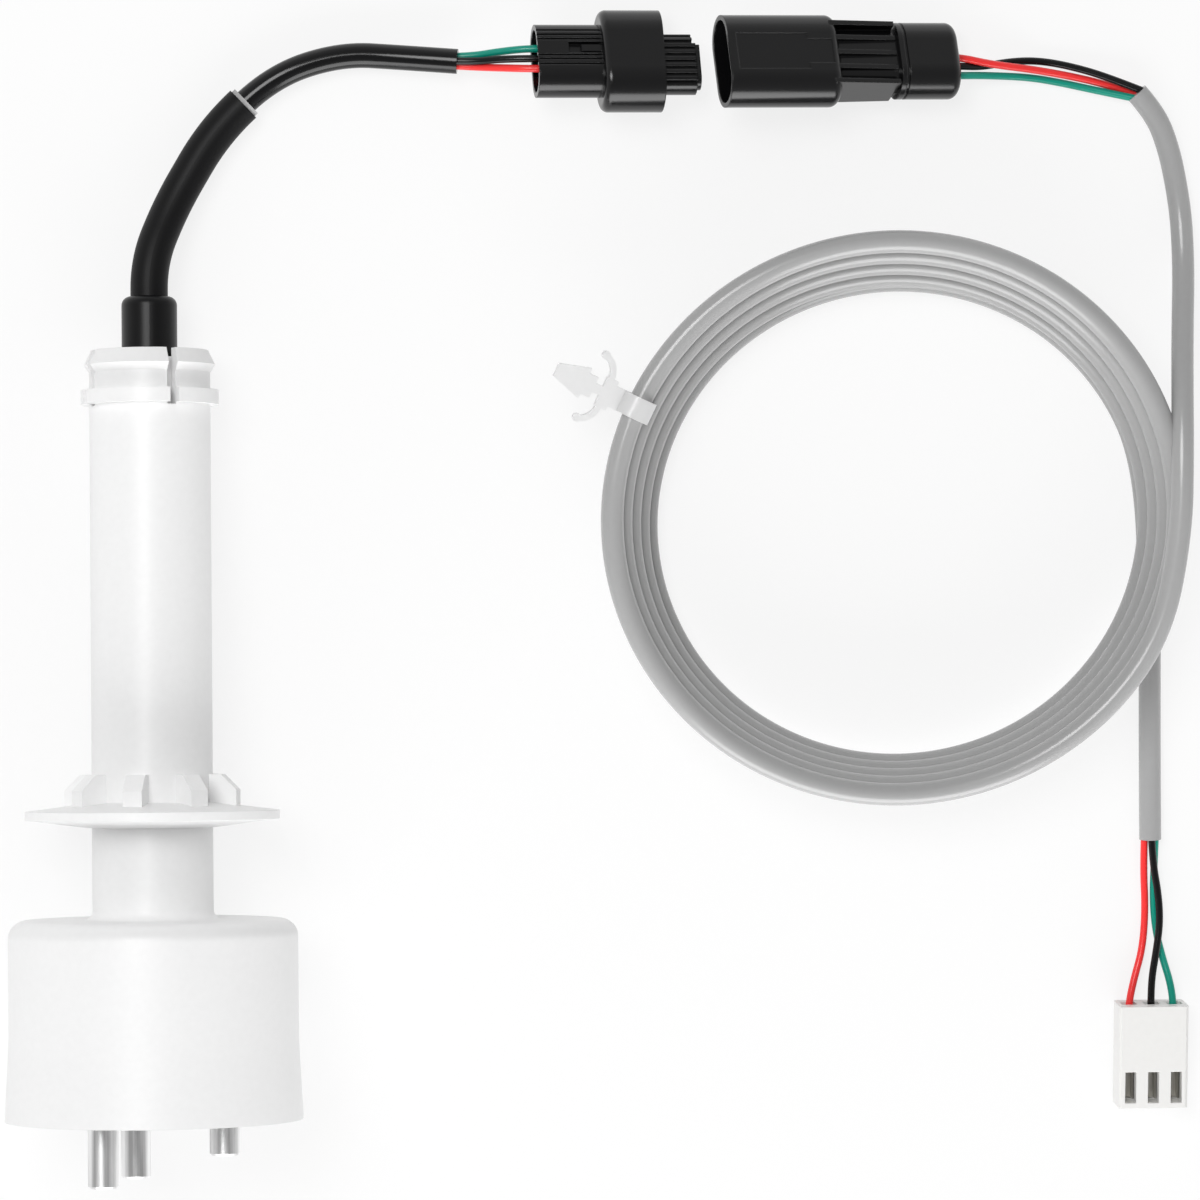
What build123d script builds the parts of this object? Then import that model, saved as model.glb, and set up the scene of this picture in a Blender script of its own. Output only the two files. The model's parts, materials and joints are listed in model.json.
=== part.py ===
from build123d import *
import os
from math import asin, atan2, cos, degrees, hypot, pi, radians, sin, tan

# A water level probe with three electrodes, lying on a table with its lead, both connectors,
# its coiled extension cable and the clip on it. All sizes are in millimetres.
# The probe's own axis is measured by s, from the rim of the bell (s = 0) towards the collar.

os.makedirs("parts", exist_ok=True)

# Probe housing: stem, flange, collar and bell
stem_radius = 10.0
stem_wall = 2.0
bell_radius = 23.9
bell_rim_radius = 24.6
bell_flare_length = 13.2
bell_wall = 1.8
bell_height = 33.0
bell_roof = 2.0
shoulder_radius = 3.0
neck_radius = 1.5
flange_radius = 21.0
flange_height = 50.2
flange_rim_thickness = 1.4
flange_cone_rise = 1.4
rib_count = 8
rib_first_azimuth = -13.0
rib_thickness = 3.2
rib_reach = 14.5
rib_height = 4.6
rib_chamfer = 2.6
collar_top = 127.0
collar_top_radius = 9.7
lip_radius = 10.84
lip_height = 124.6
groove_top = 123.3
ring_top = 120.4
ring_radius = 11.4
ring_thickness = 2.4
slot_count = 4
slot_width = 1.5
slot_first_azimuth = 21.0
slot_below_ring = 0.3

# Electrodes and what carries them inside the bell
electrode_radius = 2.5
electrode_circle = 11.9
electrode_reach_long = 10.5
electrode_reach_short = 5.8
electrode_first_azimuth = -44.8
electrode_chamfer = 0.35
electrode_flange_radius = 3.9
electrode_flange_thickness = 1.5
stud_radius = 1.5
stud_length = 6.6
carrier_bottom = 14.0
carrier_thickness = 5.0
carrier_clearance = 0.1
chamber_step = 1.5
carrier_seal_section = 1.8
electrode_seal_section = 1.1
nut_width = 5.5
nut_thickness = 2.2
terminal_thickness = 0.8
terminal_ring_radius = 3.1
terminal_barrel_radius = 1.0
terminal_barrel_length = 2.6
inner_wire_diameter = 1.1
inner_wire_r = 1.9
fit_clearance = 0.05

# Boot, bush, sleeve and lead
bush_bottom = 108.0
bush_top = 125.6
bush_finger_gap = 0.1
boot_radius = 4.6
boot_bottom = 112.0
boot_top = 136.0
boot_flange_radius = 6.0
boot_flange_thickness = 1.5
boot_clearance = 0.1
sleeve_diameter = 6.2
sleeve_wall = 0.3
lead_diameter = 4.2
lead_start = 131.5
lead_clearance = 0.3
liner_length = 1.6
liner_wall = 0.45
liner_proud = 0.7
wire_diameter = 1.25
wire_entry = 0.8

# Connectors: both are stadiums in section, width along the flat by height across it
contact_pitch = 1.8
contact_radius = 0.7
contact_tail = 0.2
receptacle_roll = 26.0
receptacle_pitch = 5.5
receptacle_rear_x = 64.0
receptacle_y = 116.2
receptacle_row = (0.5, 0.0)
body_width = 12.6
body_height = 7.4
body_length = 10.8
hood_inner_width = 16.2
hood_inner_height = 9.3
hood_wall = 0.7
hood_length = 10.2
hood_floor = 1.8
hood_edge_radius = 1.2
catch_start = 1.5
catch_length = 8.0
catch_land = 2.0
catch_width = 5.0
catch_height = 3.9
groove_width = 0.3
groove_depth = 0.35
groove_places = (-2.1, -1.2, -0.5, 2.4, 3.2, 4.1)
window_width = 2.0
window_length = 5.6
window_depth = 1.1
window_place = 0.9
tab_width = 1.3
tab_length = 3.4
tab_below = 0.35
core_width = 10.6
core_height = 5.4
core_shift = -0.6
core_length = 14.2
core_step = 0.8
core_front_wall = 1.0
core_groove_width = 0.6
core_groove_depth = 0.5
core_groove_pitch = 1.2
core_groove_count = 8
core_short_side = 2.8
core_short_by = 1.3
ring_seal_wall = 1.3
ring_seal_length = 3.0
socket_bore_depth = 9.0
seal_wall = 0.9
seal_recess = 2.4
seal_thickness = 3.0
plug_roll = 24.7
plug_pitch = 11.0
plug_mouth_x = 94.9
plug_y = 116.3
plug_row = (-0.7, -0.3)
shroud_clearance = 0.15
shroud_wall = 0.8
shroud_length = 19.5
mouth_depth = 14.5
shroud_edge_radius = 1.6
middle_width = 10.9
middle_height = 6.4
middle_length = 10.3
panel_width = 6.4
panel_length = 12.3
panel_start = 1.4
panel_depth = 0.25
panel_step_width = 4.3
panel_step_length = 4.3
wing_rib_pitch = 2.6
wing_rib_thickness = 0.8
wing_rib_front = 8.6
wing_rib_back = 7.4
cap_width = 13.2
cap_height = 8.4
cap_length = 10.7
cap_grip = 6.2
cap_rim_gap = 0.4
cap_edge_radius = 1.5
cap_groove_start = 0.9
cap_groove_width = 0.5
cap_groove_depth = 0.35
cap_window_width = 8.8
cap_window_height = 4.4
plug_seal_recess = 1.3
retainer_thickness = 2.0
pin_radius = 0.5
pin_length = 7.0
latch_start = 3.0
latch_foot = 2.5
latch_length = 18.0
latch_gap = 1.2
latch_thickness = 1.5
latch_drop = 3.74
latch_pad = 3.0
latch_width = 6.0

# Grey cable: its coil leans like a funnel, the widest turn on top
cable_diameter = 3.8
coil_top_radius_x = 47.65
coil_top_radius_y = 45.95
coil_bottom_radius_x = 42.25
coil_bottom_radius_y = 41.25
coil_top_centre = (123.85, 40.85)
coil_bottom_centre = (125.85, 38.85)
coil_top_z = 17.7

# Crimp housing at the far end of the cable
header_width = 11.9
header_length = 17.7
header_thickness = 6.5
header_chamfer = 0.4
header_pitch = 3.96
header_x = 170.9
header_top_y = -44.8
header_window_width = 1.9
header_window_length = 5.4
header_window_from_end = 0.9
header_hole = 2.6
header_hole_depth = 16.6
header_cavity_z = 3.1
header_contact_depth = 2.5
header_contact_width = 2.0
header_contact_height = 1.9
header_contact_wall = 0.3
header_crimp_length = 3.0

# Clip on the coil's top turn, pointing out from the coil
clip_x = 80.2
clip_y = 59.3
clip_heading = 25.6
clip_strap_width = 3.7
clip_strap_thickness = 0.9
clip_gap = 0.2
clip_opening_angle = -108.9
clip_bridge_start = 2.5
clip_base_out = 4.4
clip_base_thickness = 2.1
clip_base_width = 5.2
clip_neck_width = 1.6
clip_tooth_out = 7.8
clip_tooth_width = 3.7
clip_arrow_base = 9.4
clip_arrow_width = 5.5
clip_tip_out = 14.7
clip_tip_width = 2.3
clip_arrow_thickness = 2.2
clip_arm_root = 5.8
clip_arm_bow = (6.4, 4.5)
clip_arm_tip = 8.2
clip_arm_reach = 5.7
clip_arm_thickness = 1.0
clip_bulb_radius = 0.7

# How the probe lies: on the collar's ring and the bell's shoulder, so its axis leans by lie_angle
touch_radius = bell_radius - shoulder_radius
touch_height = bell_height - shoulder_radius
touch_span = ring_top - touch_height
lie_angle = degrees(
    asin(shoulder_radius / hypot(touch_span, touch_radius - ring_radius))
    + atan2(touch_radius - ring_radius, touch_span)
)
lie_cos = cos(radians(lie_angle))
lie_sin = sin(radians(lie_angle))
axis_dir = Vector(0, lie_cos, -lie_sin)
upward = Vector(0, lie_sin, lie_cos)
rim_z = ring_radius * lie_cos + ring_top * lie_sin
carrier_top = carrier_bottom + carrier_thickness

# The probe's box is centred on the origin along Y
back_electrode_low = electrode_circle * cos(radians(electrode_first_azimuth - 120)) - electrode_radius
lowest_y = -electrode_reach_long * lie_cos + back_electrode_low * lie_sin
highest_y = collar_top * lie_cos + collar_top_radius * lie_sin
rim_centre = Vector(0, -(lowest_y + highest_y) / 2, rim_z)
probe_axis = Axis(rim_centre, axis_dir)


def radial(azimuth):
    """The direction out from the probe's axis, azimuth degrees from the upper side towards +X."""
    return Vector(1, 0, 0) * sin(radians(azimuth)) + upward * cos(radians(azimuth))


def on_probe(s, r=0.0, azimuth=0.0):
    """A point of the probe: s along its axis and r out from it."""
    return rim_centre + axis_dir * s + radial(azimuth) * r


def section_plane(azimuth=0.0):
    """The plane through the probe's axis whose x runs outward and whose y runs along the axis."""
    return Plane(origin=rim_centre, x_dir=radial(azimuth), z_dir=radial(azimuth).cross(axis_dir))


def cross_plane(s, azimuth=0.0):
    """The plane across the probe's axis at s, with its x outward at azimuth."""
    return Plane(origin=on_probe(s), x_dir=radial(azimuth), z_dir=axis_dir)


def arc_radii(route):
    """One radius for each corner of a route, as large as the two runs beside it allow."""
    points = [Vector(*point) for point in route]
    radii = []
    for before, corner, after in zip(points, points[1:], points[2:]):
        turn = radians((corner - before).get_angle(after - corner))
        shorter = min((corner - before).length, (after - corner).length)
        radii.append(0.45 * shorter / tan(turn / 2))
    return radii


def tube(name, route, diameter, bore=0.0, radii=None):
    """A cord's solid along its route: straight runs joined by tangent arcs."""
    radii = radii or arc_radii(route)
    print(name, "arc radii", [round(radius, 1) for radius in radii])
    with BuildPart() as made:
        with BuildLine() as line:
            FilletPolyline(*route, radius=radii)
        path = line.wire()
        with BuildSketch(Plane(origin=path @ 0, z_dir=path % 0)):
            Circle(diameter / 2)
            if bore:
                Circle(bore / 2, mode=Mode.SUBTRACT)
        sweep(path=path)
    expected = pi * (diameter**2 - bore**2) / 4 * path.length
    print(name, "length", round(path.length, 1), "volume share", round(made.part.volume / expected, 4))
    return made


def save(piece, name):
    """Labels a finished piece and writes it."""
    piece.part.label = name
    export_step(piece.part, f"parts/{name}.step")


# Probe housing, one white moulding
stem_bore = stem_radius - stem_wall
flange_top = flange_height + flange_rim_thickness / 2
flange_bottom = flange_height - flange_rim_thickness / 2
bell_inner_radius = bell_radius - bell_wall
bell_inner_rim = bell_rim_radius - bell_wall
chamber_radius = bell_inner_radius - chamber_step
chamber_top = bell_height - bell_roof
ring_bottom = ring_top - ring_thickness
rib_base = flange_top - flange_rim_thickness / 2
rib_top = flange_top + flange_cone_rise + rib_height

with BuildPart() as housing:
    with BuildSketch(section_plane()):
        with BuildLine():
            Polyline(
                (0, collar_top),
                (collar_top_radius, collar_top),
                (lip_radius, lip_height),
                (stem_radius, groove_top),
                (stem_radius, ring_top),
                (ring_radius, ring_top),
                (ring_radius, ring_bottom),
                (stem_radius, ring_bottom),
                (stem_radius, flange_top + flange_cone_rise),
                (flange_radius, flange_top),
                (flange_radius, flange_bottom),
                (stem_radius, flange_bottom - flange_cone_rise),
                (stem_radius, bell_height + neck_radius),
            )
            RadiusArc(
                (stem_radius, bell_height + neck_radius),
                (stem_radius + neck_radius, bell_height),
                -neck_radius,
            )
            Line((stem_radius + neck_radius, bell_height), (touch_radius, bell_height))
            RadiusArc((touch_radius, bell_height), (bell_radius, touch_height), shoulder_radius)
            Polyline(
                (bell_radius, touch_height),
                (bell_radius, bell_flare_length),
                (bell_rim_radius, 0),
                (0, 0),
                (0, collar_top),
            )
        make_face()
    revolve(axis=probe_axis)
    for number in range(rib_count):
        with BuildSketch(section_plane(rib_first_azimuth + number * 360 / rib_count)):
            with BuildLine():
                Polyline(
                    (stem_radius - stem_wall / 2, rib_base),
                    (rib_reach, rib_base),
                    (rib_reach, rib_top - rib_chamfer),
                    (rib_reach - rib_chamfer, rib_top),
                    (stem_radius - stem_wall / 2, rib_top),
                    close=True,
                )
            make_face()
        extrude(amount=rib_thickness / 2, both=True)
    with BuildSketch(section_plane()):
        with BuildLine():
            Polyline(
                (0, collar_top),
                (stem_bore, collar_top),
                (stem_bore, chamber_top),
                (chamber_radius, chamber_top),
                (chamber_radius, carrier_top),
                (bell_inner_radius, carrier_top),
                (bell_inner_radius, bell_flare_length),
                (bell_inner_rim, 0),
                (0, 0),
                close=True,
            )
        make_face()
    revolve(axis=probe_axis, mode=Mode.SUBTRACT)
    with BuildSketch(cross_plane(ring_bottom - slot_below_ring, slot_first_azimuth)):
        with PolarLocations((stem_bore + ring_radius) / 2, slot_count):
            Rectangle(2 * (ring_radius - stem_bore), slot_width)
    extrude(amount=collar_top - ring_bottom + 2 * slot_below_ring, mode=Mode.SUBTRACT)
save(housing, "probe_housing")

# Electrode carrier: a disc that seats against the step inside the bell, with a seal round its edge
carrier_radius = bell_inner_radius - carrier_clearance
carrier_groove = carrier_seal_section + 0.2
seal_circle = bell_inner_radius - fit_clearance - carrier_seal_section / 2
counterbore_radius = electrode_radius + electrode_seal_section + 2 * fit_clearance
counterbore_depth = electrode_seal_section + fit_clearance

with BuildPart() as carrier:
    with BuildSketch(cross_plane(carrier_bottom, electrode_first_azimuth)):
        Circle(carrier_radius)
        with PolarLocations(electrode_circle, 3):
            Circle(electrode_radius + fit_clearance, mode=Mode.SUBTRACT)
    extrude(amount=carrier_thickness)
    with BuildSketch(cross_plane(carrier_bottom, electrode_first_azimuth)):
        with PolarLocations(electrode_circle, 3):
            Circle(counterbore_radius)
    extrude(amount=counterbore_depth, mode=Mode.SUBTRACT)
    with BuildSketch(section_plane()):
        with Locations((carrier_radius, carrier_bottom + carrier_thickness / 2)):
            Rectangle(2 * (carrier_radius - seal_circle) + carrier_seal_section, carrier_groove)
    revolve(axis=probe_axis, mode=Mode.SUBTRACT)
save(carrier, "electrode_carrier")

with BuildPart() as carrier_seal:
    with BuildSketch(section_plane()):
        with Locations((seal_circle, carrier_bottom + carrier_thickness / 2)):
            Circle(carrier_seal_section / 2)
    revolve(axis=probe_axis)
save(carrier_seal, "carrier_seal")

# Three stainless electrodes, two long and one short, each with a flange, a stud and a seal
stud_base = carrier_top + fit_clearance
electrode_names = ("electrode_long_front", "electrode_short", "electrode_long_back")
electrode_reaches = (electrode_reach_long, electrode_reach_short, electrode_reach_long)
electrode_azimuths = [electrode_first_azimuth + 120 * number for number in range(3)]


def electrode_plane(azimuth):
    """The plane through one electrode's own axis, with x outward and y along the probe's axis."""
    side = radial(azimuth)
    return Plane(
        origin=on_probe(0, electrode_circle, azimuth), x_dir=side, z_dir=side.cross(axis_dir)
    )


for name, reach, azimuth in zip(electrode_names, electrode_reaches, electrode_azimuths):
    with BuildPart() as electrode:
        with BuildSketch(electrode_plane(azimuth)):
            with BuildLine():
                Polyline(
                    (0, -reach),
                    (electrode_radius - electrode_chamfer, -reach),
                    (electrode_radius, -reach + electrode_chamfer),
                    (electrode_radius, carrier_bottom - fit_clearance - electrode_flange_thickness),
                    (
                        electrode_flange_radius,
                        carrier_bottom - fit_clearance - electrode_flange_thickness,
                    ),
                    (electrode_flange_radius, carrier_bottom - fit_clearance),
                    (electrode_radius, carrier_bottom - fit_clearance),
                    (electrode_radius, stud_base),
                    (stud_radius, stud_base),
                    (stud_radius, stud_base + stud_length),
                    (0, stud_base + stud_length),
                    close=True,
                )
            make_face()
        revolve(axis=Axis(on_probe(0, electrode_circle, azimuth), axis_dir))
    save(electrode, name)

electrode_places = ("front", "short", "back")
for place, azimuth in zip(electrode_places, electrode_azimuths):
    with BuildPart() as electrode_seal:
        with BuildSketch(electrode_plane(azimuth)):
            with Locations(
                (
                    electrode_radius + fit_clearance + electrode_seal_section / 2,
                    carrier_bottom + electrode_seal_section / 2,
                )
            ):
                Circle(electrode_seal_section / 2)
        revolve(axis=Axis(on_probe(0, electrode_circle, azimuth), axis_dir))
    save(electrode_seal, f"electrode_seal_{place}")

# On each stud: a clamping nut, a ring terminal and a second nut
terminal_base = stud_base + nut_thickness
terminal_top = terminal_base + terminal_thickness
for kind, base in (("clamp_nut", stud_base), ("terminal_nut", terminal_top)):
    for place, azimuth in zip(electrode_places, electrode_azimuths):
        with BuildPart() as nut:
            with BuildSketch(cross_plane(base, azimuth)):
                with Locations((electrode_circle, 0)):
                    RegularPolygon(nut_width / 2, 6, major_radius=False)
                    Circle(stud_radius + fit_clearance, mode=Mode.SUBTRACT)
            extrude(amount=nut_thickness)
        save(nut, f"{kind}_{place}")

barrel_start_r = electrode_circle - nut_width / 2 / cos(pi / 6) - terminal_barrel_radius
barrel_start_s = terminal_base + terminal_thickness / 2
barrel_rise = terminal_barrel_length / 2**0.5
barrel_end_r = barrel_start_r - barrel_rise
barrel_end_s = barrel_start_s + barrel_rise
for colour, azimuth in zip(("red", "black", "green"), electrode_azimuths):
    barrel_start = on_probe(barrel_start_s, barrel_start_r, azimuth)
    barrel_end = on_probe(barrel_end_s, barrel_end_r, azimuth)
    tongue_length = electrode_circle - barrel_start_r + terminal_barrel_radius / 2
    with BuildPart() as terminal:
        with BuildSketch(cross_plane(terminal_base, azimuth)):
            with Locations((electrode_circle, 0)):
                Circle(terminal_ring_radius)
            with Locations((electrode_circle - tongue_length / 2, 0)):
                Rectangle(tongue_length, 1.6 * terminal_barrel_radius)
            with Locations((electrode_circle, 0)):
                Circle(stud_radius + fit_clearance, mode=Mode.SUBTRACT)
        extrude(amount=terminal_thickness)
        with BuildSketch(Plane(origin=barrel_start, z_dir=barrel_end - barrel_start)):
            Circle(terminal_barrel_radius)
        extrude(amount=terminal_barrel_length)
    save(terminal, f"ring_terminal_{colour}")
    inner_route = [
        on_probe(boot_bottom, inner_wire_r, azimuth),
        on_probe(102, inner_wire_r, azimuth),
        on_probe(90, inner_wire_r + 0.8, azimuth + 12),
        on_probe(76, inner_wire_r + 0.3, azimuth),
        on_probe(62, inner_wire_r + 0.9, azimuth - 12),
        on_probe(49, inner_wire_r + 0.2, azimuth),
        on_probe(38, inner_wire_r + 0.6, azimuth + 4),
        on_probe(barrel_end_s + barrel_end_r - inner_wire_r, inner_wire_r, azimuth),
        barrel_end,
    ]
    save(tube(f"inner_wire_{colour}", inner_route, inner_wire_diameter), f"inner_wire_{colour}")

# Bush in the top of the stem, and the boot that it holds
with BuildPart() as bush:
    with BuildSketch(section_plane()):
        with BuildLine():
            Polyline(
                (boot_flange_radius + boot_clearance, bush_bottom),
                (stem_bore - fit_clearance, bush_bottom),
                (stem_bore - fit_clearance, ring_bottom - slot_below_ring),
                (stem_bore - bush_finger_gap, ring_bottom - slot_below_ring),
                (stem_bore - bush_finger_gap, bush_top),
                (boot_radius + boot_clearance, bush_top),
                (boot_radius + boot_clearance, boot_bottom + boot_flange_thickness + boot_clearance),
                (
                    boot_flange_radius + boot_clearance,
                    boot_bottom + boot_flange_thickness + boot_clearance,
                ),
                close=True,
            )
        make_face()
    revolve(axis=probe_axis)
save(bush, "stem_bush")

sleeve_radius = sleeve_diameter / 2
boot_bore = lead_diameter / 2 + lead_clearance
boot_shoulder = boot_radius - sleeve_radius
with BuildPart() as boot:
    with BuildSketch(section_plane()):
        with BuildLine():
            Polyline(
                (0, boot_bottom),
                (boot_flange_radius, boot_bottom),
                (boot_flange_radius, boot_bottom + boot_flange_thickness),
                (boot_radius, boot_bottom + boot_flange_thickness),
                (boot_radius, boot_top - boot_shoulder),
            )
            RadiusArc(
                (boot_radius, boot_top - boot_shoulder), (sleeve_radius, boot_top), -boot_shoulder
            )
            Polyline(
                (sleeve_radius, boot_top),
                (boot_bore, boot_top),
                (boot_bore, lead_start),
                (0, lead_start),
                (0, boot_bottom),
            )
        make_face()
    revolve(axis=probe_axis)
save(boot, "lead_boot")

# The black lead, curving down to the table and across it, with its sleeve
lead_route = [
    on_probe(lead_start),
    on_probe(142.0),
    (3.9, 92.4, 4.9),
    (10.9, 104.3, 3.3),
    (20.7, 113.6, 3.1),
    (32.0, 117.3, 2.7),
    (42.4, 116.7, 3.0),
    (51.4, 116.1, 4.2),
]
lead_radii = arc_radii(lead_route)
save(tube("lead_cable", lead_route, lead_diameter), "lead_cable")

sleeve_end = (Vector(*lead_route[3]) + Vector(*lead_route[4])) * 0.5
sleeve_end_dir = (Vector(*lead_route[4]) - Vector(*lead_route[3])).normalized()
sleeve_route = [on_probe(boot_top), *lead_route[1:4], sleeve_end]
sleeve_bore = sleeve_diameter - 2 * sleeve_wall
save(
    tube("outer_sleeve", sleeve_route, sleeve_diameter, sleeve_bore, lead_radii[:3]),
    "outer_sleeve",
)

liner_outer = sleeve_bore / 2 - fit_clearance
with BuildPart() as liner:
    with BuildSketch(
        Plane(origin=sleeve_end + sleeve_end_dir * (liner_proud - liner_length), z_dir=sleeve_end_dir)
    ):
        Circle(liner_outer)
        Circle(liner_outer - liner_wall, mode=Mode.SUBTRACT)
    extrude(amount=liner_length)
save(liner, "sleeve_liner")


def connector_plane(origin, pitch, roll):
    """Across a connector's axis, which runs to +X and down by pitch: x along its flat, y off its flat."""
    tip = Vector(cos(radians(pitch)), 0, -sin(radians(pitch)))
    level = Vector(sin(radians(pitch)), 0, cos(radians(pitch)))
    flat = Vector(0, 1, 0) * cos(radians(roll)) - level * sin(radians(roll))
    return Plane(origin=origin, x_dir=flat, z_dir=tip)


def half_drop(width, height, roll):
    """How far a rolled stadium reaches below its centre."""
    return height / 2 + (width - height) / 2 * sin(radians(roll))


def side_plane(plane, across=0.0):
    """The plane along a connector's axis and across its flat: x along the axis, y off the flat."""
    return Plane(
        origin=plane.origin + plane.x_dir * across, x_dir=plane.z_dir, z_dir=plane.z_dir.cross(plane.y_dir)
    )


def stadium_height_at(place, width, height):
    """How far a stadium's outline lies from its middle line at a place along it."""
    past_flat = max(abs(place) - (width - height) / 2, 0)
    return (height**2 / 4 - past_flat**2) ** 0.5


def contact_row(offset):
    """The three contact places of a connector, along its flat."""
    return [(offset[0] + contact_pitch * step, offset[1]) for step in (-1, 0, 1)]


def along(plane, place, depth):
    """A point of a connector: place across its axis and depth along it."""
    return plane.origin + plane.x_dir * place[0] + plane.y_dir * place[1] + plane.z_dir * depth


def block(plane, base, length, width, height, holes=(), hole=0.0):
    """A stadium-shaped block across a connector, with a hole at each contact place."""
    with BuildPart() as made:
        with BuildSketch(plane.offset(base)):
            SlotOverall(width, height)
            if holes:
                with Locations(*holes):
                    Circle(hole / 2, mode=Mode.SUBTRACT)
        extrude(amount=length)
    return made


# Receptacle: a body with a hood round its core. It rests on the hood's edge and on the catch below.
hood_width = hood_inner_width + 2 * hood_wall
hood_height = hood_inner_height + 2 * hood_wall
hood_front = body_length + hood_length
core_seat = body_length + hood_floor
receptacle_z = half_drop(hood_width, hood_height, receptacle_roll) * cos(
    radians(receptacle_pitch)
) + hood_front * sin(radians(receptacle_pitch))
receptacle_plane = connector_plane(
    (receptacle_rear_x, receptacle_y, receptacle_z), receptacle_pitch, receptacle_roll
)
receptacle_axis = Axis(receptacle_plane.origin, receptacle_plane.z_dir)
socket_row = contact_row(receptacle_row)
passage = 2 * (contact_radius + fit_clearance)
seal_width = body_width - 2 * seal_wall
seal_height = body_height - 2 * seal_wall

with BuildPart() as receptacle:
    with BuildSketch(receptacle_plane.offset(body_length)):
        SlotOverall(hood_width, hood_height)
    extrude(amount=hood_length)
    fillet(receptacle.edges().group_by(receptacle_axis)[0], hood_edge_radius)
    with BuildSketch(receptacle_plane):
        SlotOverall(body_width, body_height)
    extrude(amount=body_length + hood_edge_radius)
    with BuildSketch(receptacle_plane.offset(core_seat)):
        SlotOverall(hood_inner_width, hood_inner_height)
    extrude(amount=hood_length, mode=Mode.SUBTRACT)
    with BuildSketch(receptacle_plane):
        SlotOverall(seal_width, seal_height)
    extrude(amount=seal_recess + seal_thickness, mode=Mode.SUBTRACT)
    with BuildSketch(receptacle_plane):
        with Locations(*socket_row):
            Circle(passage / 2)
    extrude(amount=core_seat, mode=Mode.SUBTRACT)
    with BuildSketch(receptacle_plane):
        for place in groove_places:
            top = stadium_height_at(place, body_width, body_height)
            with Locations((place, top)):
                Rectangle(groove_width, 2 * groove_depth)
    extrude(amount=body_length, mode=Mode.SUBTRACT)
    with BuildSketch(receptacle_plane.offset(body_length - window_length)):
        with Locations((window_place, body_height / 2)):
            Rectangle(window_width, 2 * window_depth)
    extrude(amount=window_length, mode=Mode.SUBTRACT)
    with BuildSketch(receptacle_plane.offset(body_length - tab_length)):
        with Locations((window_place, body_height / 2 - (window_depth + tab_below) / 2)):
            Rectangle(tab_width, window_depth - tab_below + fit_clearance)
    extrude(amount=tab_length)
    with BuildSketch(side_plane(receptacle_plane)):
        with BuildLine():
            Polyline(
                (catch_start, -body_height / 2 + 0.5),
                (catch_start + catch_length, -body_height / 2 + 0.5),
                (catch_start + catch_length, -body_height / 2 - catch_height),
                (catch_start + catch_length - catch_land, -body_height / 2 - catch_height),
                close=True,
            )
        make_face()
    extrude(amount=catch_width / 2, both=True)
save(receptacle, "receptacle_housing")

with BuildPart() as core:
    with BuildSketch(receptacle_plane.offset(core_seat)):
        with Locations((core_shift, 0)):
            SlotOverall(core_width, core_height)
    extrude(amount=core_length)
    with BuildSketch(receptacle_plane.offset(core_seat + core_length)):
        with Locations((core_shift, 0)):
            SlotOverall(core_width - 2 * core_step, core_height - 2 * core_step)
    extrude(amount=core_step)
    with BuildSketch(receptacle_plane.offset(core_seat)):
        with Locations(*socket_row):
            Circle(passage / 2)
    extrude(amount=core_length - core_front_wall, mode=Mode.SUBTRACT)
    with BuildSketch(receptacle_plane.offset(core_seat)):
        with Locations(*socket_row):
            Circle(pin_radius + 2 * fit_clearance)
    extrude(amount=core_length + core_step, mode=Mode.SUBTRACT)
    with BuildSketch(receptacle_plane.offset(core_seat + ring_seal_length)):
        for step in range(core_groove_count):
            place = (step - (core_groove_count - 1) / 2) * core_groove_pitch
            reach = stadium_height_at(place, core_width, core_height)
            with Locations((core_shift + place, reach), (core_shift + place, -reach)):
                Rectangle(core_groove_width, 2 * core_groove_depth)
    extrude(amount=core_length, mode=Mode.SUBTRACT)
    with BuildSketch(receptacle_plane.offset(core_seat + core_length + core_step - core_short_by)):
        with Locations((core_shift + core_short_side + core_width / 2, 0)):
            Rectangle(core_width, core_height)
    extrude(amount=core_short_by, mode=Mode.SUBTRACT)
save(core, "receptacle_core")

with BuildPart() as ring_seal:
    with BuildSketch(receptacle_plane.offset(core_seat)):
        with Locations((core_shift, 0)):
            SlotOverall(core_width + 2 * ring_seal_wall, core_height + 2 * ring_seal_wall)
            SlotOverall(
                core_width + 2 * fit_clearance,
                core_height + 2 * fit_clearance,
                mode=Mode.SUBTRACT,
            )
    extrude(amount=ring_seal_length)
save(ring_seal, "receptacle_ring_seal")

socket_rear = seal_recess - contact_tail
socket_front = core_seat + core_length - core_front_wall - fit_clearance
for colour, place in zip(("red", "black", "green"), socket_row):
    with BuildPart() as socket:
        with BuildSketch(receptacle_plane.offset(socket_rear)):
            with Locations(place):
                Circle(contact_radius)
        extrude(amount=socket_front - socket_rear)
        with BuildSketch(receptacle_plane.offset(socket_front - socket_bore_depth)):
            with Locations(place):
                Circle(pin_radius + fit_clearance)
        extrude(amount=socket_bore_depth, mode=Mode.SUBTRACT)
    save(socket, f"socket_contact_{colour}")

receptacle_seal = block(
    receptacle_plane,
    seal_recess,
    seal_thickness,
    seal_width - 2 * fit_clearance,
    seal_height - 2 * fit_clearance,
    socket_row,
    passage,
)
save(receptacle_seal, "receptacle_wire_seal")

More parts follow.
